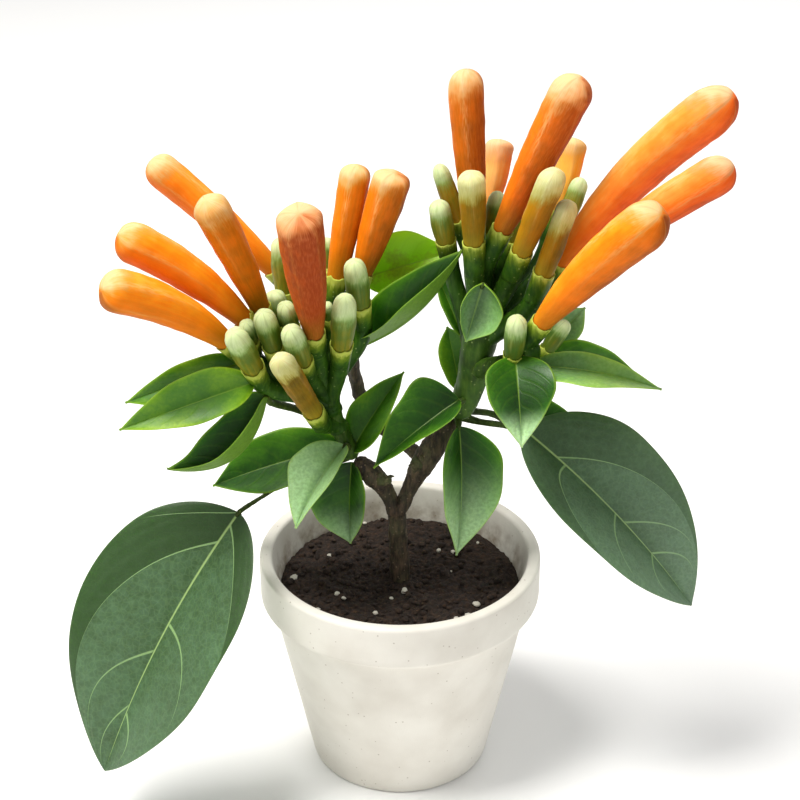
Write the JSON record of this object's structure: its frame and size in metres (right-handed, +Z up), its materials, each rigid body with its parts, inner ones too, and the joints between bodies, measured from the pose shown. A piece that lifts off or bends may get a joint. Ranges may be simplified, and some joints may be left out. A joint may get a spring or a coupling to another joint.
{
  "type": "potted flame vine",
  "caption": "Young flame vine in a small plain pot, with heads of orange tube-shaped blooms and pale buds above glossy green leaves.",
  "frame": {"origin": "centre of the pot's flat base", "axes": "+Z up, along the stem; -Y towards the viewer of the picture; +X to the viewer's right"},
  "size_m": [0.1891, 0.0953, 0.2247],
  "materials": {
    "pot": "matt",
    "soil": "rough",
    "wood": "rough bark",
    "shoot": "satin",
    "bloom": "satin",
    "young_bloom": "satin",
    "leaf": "glossy",
    "large_leaf": "satin"
  },
  "bodies": {
    "root": {"pot": "pot", "soil": "soil", "woody_stem": "wood", "left_head": "shoot", "right_head": "shoot", "left_bloom_1": "bloom", "left_bloom_2": "bloom", "left_bloom_3": "bloom", "left_bloom_4": "bloom", "left_bloom_5": "bloom", "left_bloom_6": "bloom", "left_bloom_7": "bloom", "left_bloom_8": "young_bloom", "right_bloom_1": "bloom", "right_bloom_2": "bloom", "right_bloom_3": "bloom", "right_bloom_4": "bloom", "right_bloom_5": "bloom", "right_bloom_6": "bloom", "right_bloom_7": "bloom", "right_bloom_8": "young_bloom", "right_bloom_9": "young_bloom", "right_bloom_10": "young_bloom", "leaf_bract": "leaf", "leaf_fan_low": "leaf", "leaf_fan_middle": "leaf", "leaf_fan_top": "leaf", "leaf_large_left": "large_leaf", "leaf_large_right": "large_leaf", "leaf_left_behind": "leaf", "leaf_left_front": "leaf", "leaf_left_low": "leaf", "leaf_middle_left": "leaf", "leaf_middle_right": "leaf", "leaf_right_hidden": "leaf", "leaf_right_inner": "leaf", "leaf_right_low": "leaf", "leaf_right_upper": "leaf", "leaf_side_back": "leaf", "leaf_side_front": "leaf", "leaf_side_low": "leaf", "leaf_side_top": "leaf", "leaf_twig_back": "leaf", "leaf_twig_front": "leaf"}
  },
  "joints": []
}
